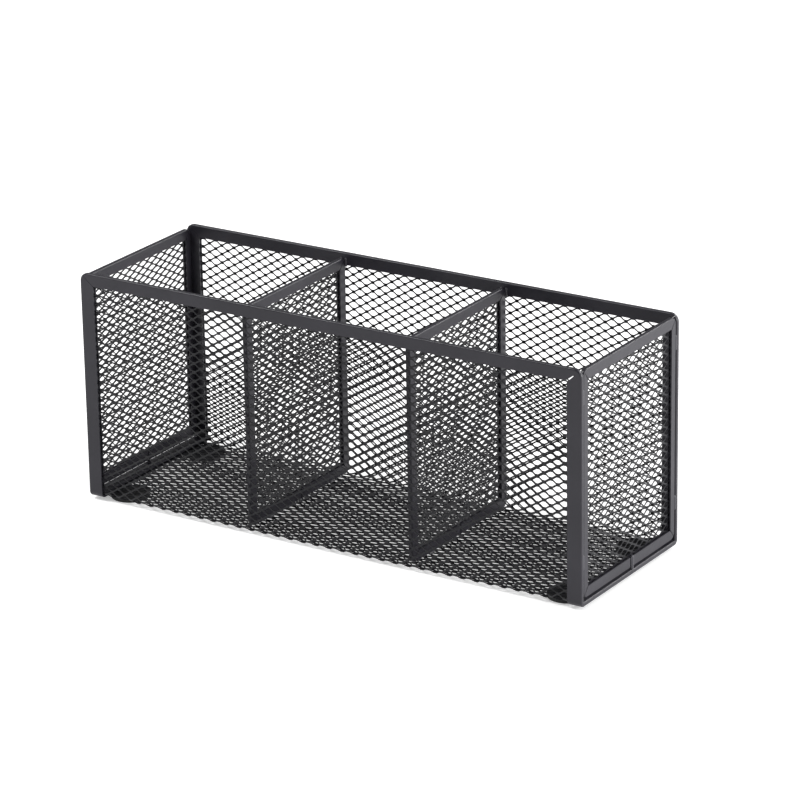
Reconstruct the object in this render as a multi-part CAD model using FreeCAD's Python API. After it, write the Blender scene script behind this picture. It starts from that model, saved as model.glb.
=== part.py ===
# Three-compartment desk organizer: a U-shaped sheet of expanded metal for the front, floor and back,
# two end panels and two dividers, every panel edged with a folded steel strip, and four round foot pads.
# Millimetres. +X is the length, -Y is the front, +Z is up. The origin is on the desk, under the centre.
import FreeCAD, Part
import os

# overall sizes
LENGTH = 230.0
WIDTH = 75.0
BODY_HEIGHT = 95.4            # from the underside of the edge strip to the rim
PAD_DROP = 1.3                # how far the foot pads hold the edge strip off the desk

# sheet and strip stock
STRIP_THICKNESS = 2.0         # across a folded strip, outside to outside
STRIP_SHEET = 0.65            # steel that the strips are folded from
MESH_THICKNESS = STRIP_THICKNESS - 2 * STRIP_SHEET
FOLD_RADIUS = 0.6             # outside radius along the strip's two folds

# edge strip of the U-shaped body
RIM_DEPTH = 5.1               # rim rails, front and back
POST_DEPTH = 6.3              # posts and floor edges
RIM_CORNER_RADIUS = 3.5       # seen from the front
BEND_RADIUS = 2.2             # outside of the bend between wall and floor

# end frames, set between the front and back walls
END_RECESS = 0.3              # behind the body strip's end face
LEFT_END_TOP_DROP = 1.5       # below the rim
RIGHT_END_TOP_DROP = 0.7
END_FLOOR_GAP = 1.0           # above the floor-edge strip
END_RAIL_DEPTH = 4.35
END_POST_DEPTH = 3.4

# dividers, which part the inside into three equal compartments
DIVIDER_OFFSET = 37.6         # centre plane to the organizer's middle
DIVIDER_TOP_DROP = 1.7
DIVIDER_DEPTH = 4.2

FRAME_CORNER_RADIUS = 3.0
FIT_GAP = 0.05                # between a frame and the wall or floor that it is welded to

# cuts in the folded strips
MITRE_WIDTH = 0.14            # a closed mitre is still a fine line
OPEN_MITRE_WIDTH = 0.7        # the front right mitre stands open at its inner end
PANEL_MITRE_WIDTH = 0.4
MITRE_LAND = 1.1              # uncut metal between the mitre and the outer corner
OPEN_MITRE_LAND = 2.7
BUTT_GAP = 0.7
END_BUTT_Y = 0.6              # where the two ends of an end frame's strip meet

# foot pads
PAD_RADIUS = 8.0
PAD_FROM_END = 12.5
PAD_FROM_WALL = 11.0
PAD_EDGE_RADIUS = 0.5
ADHESIVE_THICKNESS = 0.15
ADHESIVE_RADIUS = 7.6

# weld beads, each a round-ended run of metal: (radius, half its length)
POST_BEAD = (0.75, 3.2)
POST_BEAD_DEPTH = 0.5         # its centre line, below the end frame's face
POST_BEAD_HEIGHTS = (18.0, 84.0)
RAIL_BEAD = (0.85, 3.1)       # stands across the end frame's bottom rail, down to the floor edge
RAIL_BEAD_OFFSET = 1.7        # from where the strip's ends meet
RAIL_BEAD_DEPTH = 0.55
DIVIDER_BEAD = (0.55, 1.9)
DIVIDER_BEAD_OFFSET = 0.1     # its centre line, off the divider's face
DIVIDER_BEAD_DROP = 3.9       # its middle, below the rim
DIVIDER_FLOOR_BEAD_Y = 22.0
DIVIDER_FLOOR_BEAD_RAISE = 0.2

FLOOR_Z = PAD_DROP            # underside of the edge strip
RIM_Z = FLOOR_Z + BODY_HEIGHT
HALF_L = LENGTH / 2
HALF_W = WIDTH / 2
X_AXIS = FreeCAD.Vector(1, 0, 0)
Y_AXIS = FreeCAD.Vector(0, 1, 0)
Z_AXIS = FreeCAD.Vector(0, 0, 1)


def block(low, high):
    """A box between two corners."""
    size = [b - a for a, b in zip(low, high)]
    return Part.makeBox(size[0], size[1], size[2], FreeCAD.Vector(*low))


def along(edge, axis):
    """True for a straight edge that runs along an axis."""
    if not isinstance(edge.Curve, Part.Line):
        return False
    return abs(abs(edge.Curve.Direction.dot(axis)) - 1) < 1e-6


def edges_where(shape, test):
    return [edge for edge in shape.Edges if test(edge)]


def round_along(solid, axis, radius, keep=lambda edge: True):
    """Rounds the solid's edges that run along an axis."""
    return solid.makeFillet(radius, edges_where(solid, lambda e: along(e, axis) and keep(e)))


def prism(outline, sweep):
    """A straight prism on a closed outline of points."""
    points = [FreeCAD.Vector(*point) for point in outline]
    return Part.Face(Part.makePolygon(points + points[:1])).extrude(FreeCAD.Vector(*sweep))


def mitre_outline(inner, outer, inner_width, outer_width=MITRE_WIDTH, land=MITRE_LAND):
    """The four corners of a mitre line from a window's corner towards the strip's outer corner."""
    run = FreeCAD.Vector(outer[0] - inner[0], outer[1] - inner[1], 0)
    run.normalize()
    side = FreeCAD.Vector(-run.y, run.x, 0)
    start = FreeCAD.Vector(inner[0], inner[1], 0) - run * inner_width
    stop = FreeCAD.Vector(outer[0], outer[1], 0) - run * (land * 2 ** 0.5)
    return [start - side * (inner_width / 2), stop - side * (outer_width / 2),
            stop + side * (outer_width / 2), start + side * (inner_width / 2)]


def save(name, shape):
    shape = shape.removeSplitter()
    if not shape.isValid():
        raise ValueError(name + " is not a valid solid")
    shape.exportStep("parts/" + name + ".step")
    print(name, len(shape.Solids), "solids", round(shape.Volume, 1), "mm3")


# ---- the U-shaped body -------------------------------------------------------------------------

def trough(outset, inset, half_length, top):
    """A U-shaped wall between two depths below the body's outer surface."""
    def shape(depth, height):
        low = (-half_length, -HALF_W + depth, FLOOR_Z + depth)
        box = block(low, (half_length, HALF_W - depth, height))
        return round_along(box, X_AXIS, BEND_RADIUS - depth,
                           lambda e: e.CenterOfMass.z < FLOOR_Z + BEND_RADIUS)
    return shape(outset, top).cut(shape(inset, top + 1))


def rim_corners(half_length, top, radius):
    """A block that rounds the body's upper corners, as seen from the front."""
    box = block((-half_length, -WIDTH, -WIDTH), (half_length, WIDTH, top))
    return round_along(box, Y_AXIS, radius, lambda e: e.CenterOfMass.z > 0)


def is_web(face):
    """True for the strip's outer edge faces: its two ends, its rim and the corners between."""
    if isinstance(face.Surface, Part.Cylinder):
        return abs(abs(face.Surface.Axis.dot(Y_AXIS)) - 1) < 1e-6
    normal = face.normalAt(0, 0)
    return abs(abs(normal.x) - 1) < 1e-6 or (normal.z > 0.99 and face.CenterOfMass.z > RIM_Z - 0.01)


def fold_edges(solid):
    """The edges where the web turns into a flange."""
    found = []
    for edge in solid.Edges:
        webs = [face for face in solid.ancestorsOfType(edge, Part.Face) if is_web(face)]
        if len(webs) == 1:
            found.append(edge)
    return found


def body_slot():
    """The space inside the folded strip, which the mesh sheet fills."""
    sheet = trough(STRIP_SHEET, STRIP_SHEET + MESH_THICKNESS, HALF_L - STRIP_SHEET, RIM_Z - STRIP_SHEET)
    corners = rim_corners(HALF_L - STRIP_SHEET, RIM_Z - STRIP_SHEET, RIM_CORNER_RADIUS - STRIP_SHEET)
    return sheet.common(corners)


def body_edge_strip():
    """One strip folded over the whole edge of the mesh sheet, mitred at the four rim corners."""
    shell = trough(0, STRIP_THICKNESS, HALF_L, RIM_Z)
    shell = shell.common(rim_corners(HALF_L, RIM_Z, RIM_CORNER_RADIUS))
    shell = shell.makeFillet(FOLD_RADIUS, fold_edges(shell))
    strip = shell.cut(body_slot())
    window = (HALF_L - POST_DEPTH, RIM_Z - RIM_DEPTH)
    strip = strip.cut(block((-window[0], -WIDTH, -WIDTH), (window[0], WIDTH, window[1])))
    for x_side in (-1, 1):
        for y_side in (-1, 1):
            inner = (x_side * window[0], window[1])
            outer = (x_side * HALF_L, RIM_Z)
            if (x_side, y_side) == (1, -1):
                outline = mitre_outline(inner, outer, OPEN_MITRE_WIDTH, land=OPEN_MITRE_LAND)
            else:
                outline = mitre_outline(inner, outer, MITRE_WIDTH)
            flanges = [(p.x, y_side * (HALF_W + 1), p.y) for p in outline]
            strip = strip.cut(prism(flanges, (0, -y_side * (STRIP_THICKNESS + 2), 0)))
    seam = block((-HALF_L - 1, -BUTT_GAP / 2, 0), (-HALF_L + POST_DEPTH + 1, BUTT_GAP / 2, FLOOR_Z + 5))
    return strip.cut(seam)


# ---- flat panels: end panels and dividers ------------------------------------------------------

class Panel:
    """A flat panel across the organizer: a mesh sheet in a folded frame with mitred corners."""

    def __init__(self, x_middle, bottom, top, rail_depth, post_depth):
        self.x = x_middle
        self.half_y = HALF_W - STRIP_THICKNESS - FIT_GAP
        self.bottom = bottom
        self.top = top
        self.rail_depth = rail_depth
        self.post_depth = post_depth

    def plate(self, inset, radius):
        """The panel's outline as a rounded plate, inset all round."""
        half_x = STRIP_THICKNESS / 2 - inset
        low = (self.x - half_x, -self.half_y + inset, self.bottom + inset)
        high = (self.x + half_x, self.half_y - inset, self.top - inset)
        return round_along(block(low, high), X_AXIS, radius)

    def mesh(self):
        return self.plate(STRIP_SHEET, FRAME_CORNER_RADIUS - STRIP_SHEET)

    def frame(self, butt_y=0.0):
        outer = self.plate(0, FRAME_CORNER_RADIUS)
        rim = edges_where(outer, lambda e: abs(abs(e.CenterOfMass.x - self.x) - STRIP_THICKNESS / 2) < 1e-6)
        frame = outer.makeFillet(FOLD_RADIUS, rim).cut(self.mesh())
        half_window = self.half_y - self.post_depth
        sill = self.bottom + self.rail_depth
        lintel = self.top - self.rail_depth
        left = self.x - STRIP_THICKNESS
        right = self.x + STRIP_THICKNESS
        frame = frame.cut(block((left, -half_window, sill), (right, half_window, lintel)))
        for y_side in (-1, 1):
            for inner_z, outer_z in ((sill, self.bottom), (lintel, self.top)):
                outline = mitre_outline((y_side * half_window, inner_z), (y_side * self.half_y, outer_z),
                                        PANEL_MITRE_WIDTH)
                cut = [(left, p.x, p.y) for p in outline]
                frame = frame.cut(prism(cut, (right - left, 0, 0)))
        gap = block((left, butt_y - BUTT_GAP / 2, self.bottom - 1), (right, butt_y + BUTT_GAP / 2, sill + 1))
        return frame.cut(gap)


def end_panel(side):
    x_middle = side * (HALF_L - END_RECESS - STRIP_THICKNESS / 2)
    bottom = FLOOR_Z + STRIP_THICKNESS + END_FLOOR_GAP
    top_drop = RIGHT_END_TOP_DROP if side > 0 else LEFT_END_TOP_DROP
    return Panel(x_middle, bottom, RIM_Z - top_drop, END_RAIL_DEPTH, END_POST_DEPTH)


def divider_panel(side):
    bottom = FLOOR_Z + STRIP_SHEET + MESH_THICKNESS + FIT_GAP
    return Panel(side * DIVIDER_OFFSET, bottom, RIM_Z - DIVIDER_TOP_DROP, DIVIDER_DEPTH, DIVIDER_DEPTH)


# ---- weld beads --------------------------------------------------------------------------------

def bead(centre, axis, size):
    """A bead of weld metal with rounded ends, along an axis."""
    radius, half_length = size
    reach = half_length - radius
    middle = FreeCAD.Vector(*centre)
    metal = Part.makeCylinder(radius, 2 * reach, middle - axis * reach, axis)
    for end in (-1, 1):
        metal = metal.fuse(Part.makeSphere(radius, middle + axis * (end * reach)))
    return metal.removeSplitter()


def weld(beads, neighbours):
    """Beads trimmed to the pieces that they join."""
    pieces = []
    for one in beads:
        for neighbour in neighbours:
            one = one.cut(neighbour)
        pieces += [solid for solid in one.Solids if solid.Volume > 0.02]
    return Part.makeCompound(pieces)


def end_weld_beads(side, panel):
    face_x = side * (HALF_L - END_RECESS)
    post_x = face_x - side * POST_BEAD_DEPTH
    seam_y = HALF_W - STRIP_THICKNESS
    beads = [bead((post_x, y_side * seam_y, FLOOR_Z + height), Z_AXIS, POST_BEAD)
             for y_side in (-1, 1) for height in POST_BEAD_HEIGHTS]
    rail_middle = panel.bottom + (panel.rail_depth - END_FLOOR_GAP) / 2
    rail_centre = (face_x - side * RAIL_BEAD_DEPTH, END_BUTT_Y + RAIL_BEAD_OFFSET, rail_middle)
    beads.append(bead(rail_centre, Z_AXIS, RAIL_BEAD))
    return beads


def divider_weld_beads(side, panel):
    beads = []
    for x_side in (-1, 1):
        bead_x = panel.x + x_side * (STRIP_THICKNESS / 2 + DIVIDER_BEAD_OFFSET)
        for y_side in (-1, 1):
            rim_centre = (bead_x, y_side * (HALF_W - STRIP_THICKNESS), RIM_Z - DIVIDER_BEAD_DROP)
            beads.append(bead(rim_centre, Z_AXIS, DIVIDER_BEAD))
            floor_centre = (bead_x, y_side * DIVIDER_FLOOR_BEAD_Y, panel.bottom + DIVIDER_FLOOR_BEAD_RAISE)
            beads.append(bead(floor_centre, Y_AXIS, DIVIDER_BEAD))
    return beads


# ---- foot pads ---------------------------------------------------------------------------------

def pad_centres():
    """Corner names and the pads' centres."""
    x = HALF_L - PAD_FROM_END
    y = HALF_W - PAD_FROM_WALL
    return {"front_left": (-x, -y), "front_right": (x, -y), "back_left": (-x, y), "back_right": (x, y)}


def disc(centre, radius, bottom, top):
    return Part.makeCylinder(radius, top - bottom, FreeCAD.Vector(centre[0], centre[1], bottom))


def foot_pad(centre):
    top = FLOOR_Z + STRIP_SHEET - ADHESIVE_THICKNESS
    pad = disc(centre, PAD_RADIUS, 0, top)
    return pad.makeFillet(PAD_EDGE_RADIUS, edges_where(pad, lambda e: e.Closed and e.CenterOfMass.z < 0.01))


def adhesive_disc(centre):
    top = FLOOR_Z + STRIP_SHEET
    return disc(centre, ADHESIVE_RADIUS, top - ADHESIVE_THICKNESS, top)


os.makedirs("parts", exist_ok=True)

strip = body_edge_strip()
mesh = body_slot()
save("body_edge_strip", strip)
save("body_mesh", mesh)

for name, side in (("left", -1), ("right", 1)):
    panel = end_panel(side)
    frame = panel.frame(END_BUTT_Y)
    save(name + "_end_frame", frame)
    save(name + "_end_mesh", panel.mesh())
    save(name + "_end_welds", weld(end_weld_beads(side, panel), (strip, frame, mesh, panel.mesh())))

    panel = divider_panel(side)
    frame = panel.frame()
    save(name + "_divider_frame", frame)
    save(name + "_divider_mesh", panel.mesh())
    save(name + "_divider_welds", weld(divider_weld_beads(side, panel), (strip, frame, mesh, panel.mesh())))

for corner, centre in pad_centres().items():
    save(corner + "_foot_pad", foot_pad(centre))
    save(corner + "_adhesive_disc", adhesive_disc(centre))
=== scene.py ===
"""Desk organizer of black expanded metal: real mesh, powder coat, studio floor, lights, camera."""

import math

import bpy
from mathutils import Matrix, Vector


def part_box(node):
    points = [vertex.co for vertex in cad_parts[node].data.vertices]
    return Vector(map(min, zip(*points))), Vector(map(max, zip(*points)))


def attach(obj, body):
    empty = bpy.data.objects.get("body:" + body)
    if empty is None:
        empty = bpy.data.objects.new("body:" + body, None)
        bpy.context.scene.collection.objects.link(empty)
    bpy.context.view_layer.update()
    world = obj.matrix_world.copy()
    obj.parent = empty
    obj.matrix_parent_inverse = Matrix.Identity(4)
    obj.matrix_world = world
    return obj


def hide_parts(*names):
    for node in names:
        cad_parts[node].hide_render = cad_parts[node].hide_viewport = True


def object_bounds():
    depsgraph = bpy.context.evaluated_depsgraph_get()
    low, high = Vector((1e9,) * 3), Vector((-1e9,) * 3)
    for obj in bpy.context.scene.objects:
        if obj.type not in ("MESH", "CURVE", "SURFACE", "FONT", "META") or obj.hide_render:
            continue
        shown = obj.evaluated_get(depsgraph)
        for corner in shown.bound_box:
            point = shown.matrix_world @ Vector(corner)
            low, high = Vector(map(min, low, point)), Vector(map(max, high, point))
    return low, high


MM = 0.001

# expanded metal: long and short way of a diamond in the body and in the flat panels, strand
# section, length of a bond, tilt of the strands
BODY_DIAMOND = (6.13 * MM, 3.68 * MM)
PANEL_DIAMOND = (6.05 * MM, 3.34 * MM)
STRAND_WIDTH = 0.72 * MM
STRAND_THICKNESS = 0.24 * MM
BOND_LENGTH = 1.2 * MM
STRAND_TILT = math.radians(-18)
RIGHT_END_TILT = math.radians(9)
SMOOTH_ANGLE = math.radians(50)

# from the edges of the CAD sheets, which fill the folded strips' slots, to the outermost bonds
PANEL_INSET = 1.9 * MM
BODY_SIDE_INSET = 4 * MM
BODY_RIM_INSET = 3 * MM

CORNER_CROP = 2.2 * MM         # off the body sheet's rim corners, clear of the strip's mitres
SHEET_THICKNESS = 0.7 * MM     # of the CAD sheets
BEND_RADIUS = 1.2 * MM         # of the body sheet, to the middle of its thickness
FLOOR_SAG = 0.8 * MM           # of the body sheet, halfway along
SAG_FADE = 30 * MM             # height at which a wall no longer moves with the sagging floor

# noise: the part of its range that shows, and how many features of each kind fit in a metre
NOISE_LOW, NOISE_HIGH = 0.3, 0.7
COAT_CLOUDS, COAT_WAVES, COAT_PEEL, COAT_SPECKS = 45, 140, 1500, 3200
RUBBER_CLOUDS, RUBBER_CELLS = 160, 2400
FILM_CLOUDS = 500
FLOOR_CLOUDS = 30
PEEL_DEPTH = 0.012 * MM
CELL_DEPTH = 0.05 * MM
FILM_DEPTH = 0.01 * MM

# the stage, in metres and watts
FLOOR_REACH = 3.0
FLOOR_GLOW = 0.38
WORLD_GLOW = 0.24
LIGHT_AIM = (0, 0, 0.05)
SOFTBOXES = (                  # name, place, width and height, power
    ("right_back_softbox", (1.3, 0.9, 0.45), (1.0, 0.8), 22),
    ("right_softbox", (1.4, -0.1, 0.4), (1.0, 0.7), 12),
    ("left_softbox", (-1.4, 0.2, 0.8), (1.0, 1.0), 5),
    ("back_softbox", (0.52, 1.22, 0.8), (0.4, 0.4), 6),
    ("top_front_softbox", (-0.8, -0.52, 1.25), (0.4, 0.4), 14),
)

# the camera: direction to it and roll; distance and aim from the middle of the rim, as shares of
# the length; lens and sensor in millimetres; nearest and farthest that it sees, in metres
CAMERA_YAW = math.radians(32.81)
CAMERA_PITCH = math.radians(20.25)
CAMERA_ROLL = math.radians(-0.96)
CAMERA_DISTANCE = 6.8893
CAMERA_AIM = (-0.0438, 0.1826)
CAMERA_LENS = 182.9
SENSOR_WIDTH = 36.0
CAMERA_CLIP = (0.1, 10)

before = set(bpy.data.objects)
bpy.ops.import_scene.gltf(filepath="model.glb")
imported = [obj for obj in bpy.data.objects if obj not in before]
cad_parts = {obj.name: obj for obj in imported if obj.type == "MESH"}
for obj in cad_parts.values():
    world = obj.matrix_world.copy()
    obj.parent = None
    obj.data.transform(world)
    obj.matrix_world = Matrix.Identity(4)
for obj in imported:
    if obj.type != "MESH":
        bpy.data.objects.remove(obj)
cad_low, cad_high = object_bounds()


# ---- materials ---------------------------------------------------------------------------------

class Surface:
    """A material whose colour, roughness and bumps follow noise in each piece's own coordinates."""

    def __init__(self, name):
        self.material = bpy.data.materials.new(name)
        self.material.use_nodes = True
        self.nodes = self.material.node_tree.nodes
        self.links = self.material.node_tree.links
        self.inputs = self.nodes["Principled BSDF"].inputs

    def noise(self, scale, detail):
        """Noise with features about 1 / scale metres across."""
        place = self.nodes.new("ShaderNodeTexCoord")
        texture = self.nodes.new("ShaderNodeTexNoise")
        texture.inputs["Scale"].default_value = scale
        texture.inputs["Detail"].default_value = detail
        self.links.new(place.outputs["Object"], texture.inputs["Vector"])
        return texture.outputs["Fac"]

    def spread(self, source, low, high):
        """The middle of a noise's range, stretched to run from low to high."""
        ranged = self.nodes.new("ShaderNodeMapRange")
        ranged.inputs["From Min"].default_value = NOISE_LOW
        ranged.inputs["From Max"].default_value = NOISE_HIGH
        ranged.inputs["To Min"].default_value = low
        ranged.inputs["To Max"].default_value = high
        self.links.new(source, ranged.inputs["Value"])
        return ranged.outputs["Result"]

    def colour(self, source, dark, light):
        mix = self.nodes.new("ShaderNodeMix")
        mix.data_type = "RGBA"
        mix.inputs["A"].default_value = (*dark, 1)
        mix.inputs["B"].default_value = (*light, 1)
        self.links.new(self.spread(source, 0, 1), mix.inputs["Factor"])
        self.links.new(mix.outputs["Result"], self.inputs["Base Color"])

    def roughness(self, source, low, high):
        self.links.new(self.spread(source, low, high), self.inputs["Roughness"])

    def bump(self, *fields):
        """Bumps on bumps: each field is a height that runs from 0 to 1 and its depth in metres."""
        before = None
        for height, depth in fields:
            node = self.nodes.new("ShaderNodeBump")
            node.inputs["Strength"].default_value = 1.0
            node.inputs["Distance"].default_value = depth
            self.links.new(height, node.inputs["Height"])
            if before is not None:
                self.links.new(before, node.inputs["Normal"])
            before = node.outputs["Normal"]
        self.links.new(before, self.inputs["Normal"])


def powder_coat(name, dark, light, roughness, unevenness, gloss):
    """Satin black powder coat: fine orange peel over slightly uneven metal."""
    coat = Surface(name)
    coat.inputs["Specular IOR Level"].default_value = gloss
    coat.colour(coat.noise(COAT_CLOUDS, detail=3), dark, light)
    coat.roughness(coat.noise(COAT_SPECKS, detail=1), *roughness)
    coat.bump((coat.noise(COAT_WAVES, detail=1), unevenness),
              (coat.noise(COAT_PEEL, detail=2), PEEL_DEPTH))
    return coat.material


def foam_rubber():
    rubber = Surface("foam_rubber")
    cells = rubber.noise(RUBBER_CELLS, detail=3)
    rubber.colour(rubber.noise(RUBBER_CLOUDS, detail=2),
                  dark=(0.010, 0.010, 0.011), light=(0.018, 0.018, 0.018))
    rubber.roughness(cells, 0.7, 0.95)
    rubber.bump((cells, CELL_DEPTH))
    return rubber.material


def adhesive_film():
    film = Surface("adhesive_film")
    clouds = film.noise(FILM_CLOUDS, detail=2)
    film.colour(clouds, dark=(0.008, 0.008, 0.009), light=(0.014, 0.014, 0.015))
    film.roughness(clouds, 0.25, 0.45)
    film.bump((clouds, FILM_DEPTH))
    return film.material


def pale_floor():
    """White acrylic, faintly lit from below as on a photographer's light table."""
    acrylic = Surface("pale_floor")
    acrylic.colour(acrylic.noise(FLOOR_CLOUDS, detail=3),
                   dark=(0.90, 0.90, 0.90), light=(0.92, 0.92, 0.92))
    acrylic.inputs["Roughness"].default_value = 0.9
    acrylic.inputs["Specular IOR Level"].default_value = 0.1
    acrylic.inputs["Emission Color"].default_value = (1, 1, 1, 1)
    acrylic.inputs["Emission Strength"].default_value = FLOOR_GLOW
    return acrylic.material


def dress(node, material):
    """Gives a CAD node's every slot one material."""
    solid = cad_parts[node]
    if not solid.material_slots:
        solid.data.materials.append(material)
    for holder in solid.material_slots:
        holder.material = material


# ---- expanded metal ----------------------------------------------------------------------------

class Weave:
    """A flat sheet of expanded metal: zigzag strands, stacked up the short way and bonded at bends.

    u runs the long way, v the short way and n out of the sheet. Bond (row, column) exists where
    row + column is even, and strand row zigzags between the bonds of its row and of the next.
    Each bond has its two strands' three lines of edges: the lower edge, the shared line, the upper.
    """

    LOWER_FACE, UPPER_FACE = 0, 2      # of a strand's section

    def __init__(self, u_low, u_high, v_low, v_high, diamond, tilt, crop=0.0):
        self.column_step = diamond[0] / 2
        self.row_step = diamond[1] / 2
        self.columns = 1 + round((u_high - u_low) / self.column_step)
        self.rows = 1 + round((v_high - v_low) / self.row_step)
        self.u_low = (u_low + u_high) / 2 - (self.columns - 1) * self.column_step / 2
        self.v_low = (v_low + v_high) / 2 - (self.rows - 1) * self.row_step / 2
        self.width_way = Vector((0, math.cos(tilt), math.sin(tilt))) * STRAND_WIDTH
        self.thick_way = Vector((0, -math.sin(tilt), math.cos(tilt))) * (STRAND_THICKNESS / 2)
        self.crop_columns = crop / self.column_step
        self.crop_rows = crop / self.row_step
        self.points = []
        self.faces = []
        self.first = {}
        self.make_bonds()
        for row in range(self.rows - 1):
            self.make_strand(row)

    def cropped(self, row, column):
        """True in the sheet's four cropped corners."""
        from_side = min(column, self.columns - 1 - column)
        from_end = min(row, self.rows - 1 - row)
        return from_side < self.crop_columns and from_end < self.crop_rows

    def make_bonds(self):
        for row in range(self.rows):
            for column in range(row % 2, self.columns, 2):
                if self.cropped(row, column):
                    continue
                self.first[row, column] = len(self.points)
                u = self.u_low + column * self.column_step
                v = self.v_low + row * self.row_step
                for level in (-1, 0, 1):
                    for end in (-1, 1):
                        middle = Vector((u + end * BOND_LENGTH / 2, v, 0)) + self.width_way * level
                        self.points += [middle - self.thick_way, middle + self.thick_way]

    def section(self, row, column, end):
        """A strand's corners at one end of a bond, round from lower back by lower and upper front."""
        low = (row + column) % 2 == 0
        base = self.first[row if low else row + 1, column] + 2 * end
        lower = base + (4 if low else 0)
        return (lower, lower + 1, lower + 5, lower + 4)

    def make_strand(self, row):
        last = None
        for column in range(self.columns):
            low = (row + column) % 2 == 0
            if (row if low else row + 1, column) not in self.first:
                if last:
                    self.faces.append(last[::-1])
                last = None
                continue
            start = self.section(row, column, 0)
            stop = self.section(row, column, 1)
            if last:
                self.join(last, start)
            else:
                self.faces.append(start)
            if low:
                bonded = self.LOWER_FACE if row > 0 else None
            else:
                bonded = self.UPPER_FACE if row < self.rows - 2 else None
            self.join(start, stop, skip=bonded)
            last = stop
        if last:
            self.faces.append(last[::-1])

    def join(self, start, stop, skip=None):
        """The faces between two sections, without the one that is bonded to the next strand."""
        for side in range(4):
            if side != skip:
                after = (side + 1) % 4
                self.faces.append((start[after], start[side], stop[side], stop[after]))


def mesh_object(name, points, faces, material):
    data = bpy.data.meshes.new(name)
    data.from_pydata([tuple(point) for point in points], [], faces)
    data.validate()
    data.polygons.foreach_set("use_smooth", [True] * len(data.polygons))
    data.set_sharp_from_angle(angle=SMOOTH_ANGLE)
    data.materials.append(material)
    piece = bpy.data.objects.new(name, data)
    bpy.context.scene.collection.objects.link(piece)
    return piece


def stand_for(piece, node):
    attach(piece, "root")
    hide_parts(node)


def panel_weave(node, material, tilt):
    """A flat sheet across the organizer, inside its folded frame."""
    low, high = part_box(node)
    middle_x = (low.x + high.x) / 2
    weave = Weave(low.y + PANEL_INSET, high.y - PANEL_INSET,
                  low.z + PANEL_INSET, high.z - PANEL_INSET, PANEL_DIAMOND, tilt)
    points = [Vector((middle_x + p.z, p.x, p.y)) for p in weave.points]
    name = node.replace("_mesh", "_expanded_metal")
    stand_for(mesh_object(name, points, weave.faces, material), node)


def body_weave(material, tilt):
    """One sheet bent to a U: front wall, floor and back wall."""
    low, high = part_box("body_mesh")
    half_y = high.y - SHEET_THICKNESS / 2
    floor_z = low.z + SHEET_THICKNESS / 2
    half_flat = half_y - BEND_RADIUS
    arc = BEND_RADIUS * math.pi / 2
    top = half_flat + arc + (high.z - floor_z - BEND_RADIUS)

    def sagged(x, y, z):
        height = max(0.0, 1 - (z - floor_z) / SAG_FADE)
        return Vector((x, y, z - FLOOR_SAG * (1 - (x / high.x) ** 2) * height))

    def place(p):
        """Where a point of the flat sheet is once it is bent: u is x, v runs on from y up a wall."""
        side = 1 if p.y > 0 else -1
        run = abs(p.y)
        out = -p.z
        if run <= half_flat:
            return sagged(p.x, p.y, floor_z + out)
        if run <= half_flat + arc:
            angle = (run - half_flat) / BEND_RADIUS
            radius = BEND_RADIUS - out
            return sagged(p.x, side * (half_flat + radius * math.sin(angle)),
                          floor_z + BEND_RADIUS - radius * math.cos(angle))
        return sagged(p.x, side * (half_y - out), floor_z + BEND_RADIUS + run - half_flat - arc)

    rim = top - BODY_RIM_INSET
    weave = Weave(low.x + BODY_SIDE_INSET, high.x - BODY_SIDE_INSET, -rim, rim,
                  BODY_DIAMOND, tilt, CORNER_CROP)
    points = [place(p) for p in weave.points]
    stand_for(mesh_object("body_expanded_metal", points, weave.faces, material), "body_mesh")


# ---- stage -------------------------------------------------------------------------------------

def make_floor():
    data = bpy.data.meshes.new("floor")
    quarters = ((-1, -1), (1, -1), (1, 1), (-1, 1))
    data.from_pydata([(x * FLOOR_REACH, y * FLOOR_REACH, 0) for x, y in quarters], [], [(0, 1, 2, 3)])
    data.materials.append(pale_floor())
    floor = bpy.data.objects.new("floor", data)
    bpy.context.scene.collection.objects.link(floor)


def softbox(name, place, size, power):
    data = bpy.data.lights.new(name, "AREA")
    data.shape = "RECTANGLE"
    data.size, data.size_y = size
    data.energy = power
    lamp = bpy.data.objects.new(name, data)
    lamp.location = place
    lamp.rotation_mode = "QUATERNION"
    lamp.rotation_quaternion = (Vector(LIGHT_AIM) - Vector(place)).to_track_quat("-Z", "Y")
    bpy.context.scene.collection.objects.link(lamp)


def make_world():
    world = bpy.data.worlds.new("studio")
    world.use_nodes = True
    background = world.node_tree.nodes["Background"]
    background.inputs["Color"].default_value = (1, 1, 1, 1)
    background.inputs["Strength"].default_value = WORLD_GLOW
    bpy.context.scene.world = world


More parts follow.
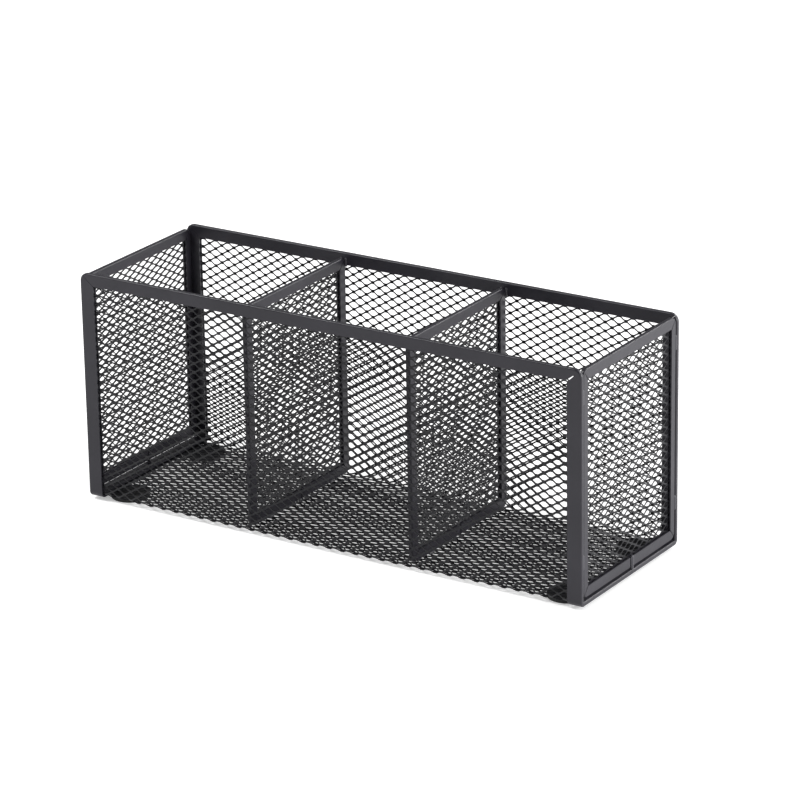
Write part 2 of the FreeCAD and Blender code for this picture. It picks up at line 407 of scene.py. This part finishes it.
def make_camera():
    length = cad_high.x - cad_low.x
    origin = Vector((0, 0, cad_high.z))
    back = Vector((math.sin(CAMERA_YAW) * math.cos(CAMERA_PITCH),
                   -math.cos(CAMERA_YAW) * math.cos(CAMERA_PITCH), math.sin(CAMERA_PITCH)))
    level_right = Vector((math.cos(CAMERA_YAW), math.sin(CAMERA_YAW), 0))
    level_up = back.cross(level_right)
    right = level_right * math.cos(CAMERA_ROLL) + level_up * math.sin(CAMERA_ROLL)
    up = level_up * math.cos(CAMERA_ROLL) - level_right * math.sin(CAMERA_ROLL)
    place = origin + (back * CAMERA_DISTANCE - right * CAMERA_AIM[0] - up * CAMERA_AIM[1]) * length
    turn = Matrix((right, up, back)).transposed()
    data = bpy.data.cameras.new("camera")
    data.lens = CAMERA_LENS
    data.sensor_width = SENSOR_WIDTH
    data.clip_start, data.clip_end = CAMERA_CLIP
    camera = bpy.data.objects.new("camera", data)
    camera.matrix_world = Matrix.Translation(place) @ turn.to_4x4()
    bpy.context.scene.collection.objects.link(camera)
    bpy.context.scene.camera = camera


strip_coat = powder_coat("strip_powder_coat", dark=(0.0185, 0.0175, 0.0230),
                         light=(0.0255, 0.0242, 0.0315), roughness=(0.28, 0.38),
                         unevenness=0.05 * MM, gloss=0.30)
# the same black powder coat as the strips, painted darker and less glossy: painted shade on the thin
# strands
mesh_coat_painted_shade = powder_coat("mesh_powder_coat", dark=(0.008, 0.008, 0.010),
                        light=(0.013, 0.013, 0.016), roughness=(0.34, 0.46),
                        unevenness=0.02 * MM, gloss=0.20)
# the same black powder coat as the strips, painted lighter: painted highlight on the weld beads;
# their bumps are real
weld_coat_painted_highlight = powder_coat("weld_powder_coat_painted_highlight", dark=(0.028, 0.027, 0.034),
                        light=(0.042, 0.040, 0.050), roughness=(0.34, 0.5),
                        unevenness=0.12 * MM, gloss=0.5)
pad_rubber = foam_rubber()
pad_adhesive = adhesive_film()

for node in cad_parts:
    if node.endswith(("_strip", "_frame")):
        dress(node, strip_coat)
    elif node.endswith("_welds"):
        dress(node, weld_coat_painted_highlight)
    elif node.endswith("_foot_pad"):
        dress(node, pad_rubber)
    elif node.endswith("_adhesive_disc"):
        dress(node, pad_adhesive)

body_weave(mesh_coat_painted_shade, STRAND_TILT)
for panel in ("left_end", "left_divider", "right_divider"):
    panel_weave(panel + "_mesh", mesh_coat_painted_shade, STRAND_TILT)
panel_weave("right_end_mesh", mesh_coat_painted_shade, RIGHT_END_TILT)

make_floor()
make_world()
for box in SOFTBOXES:
    softbox(*box)
make_camera()
bpy.context.scene.view_settings.view_transform = "Standard"
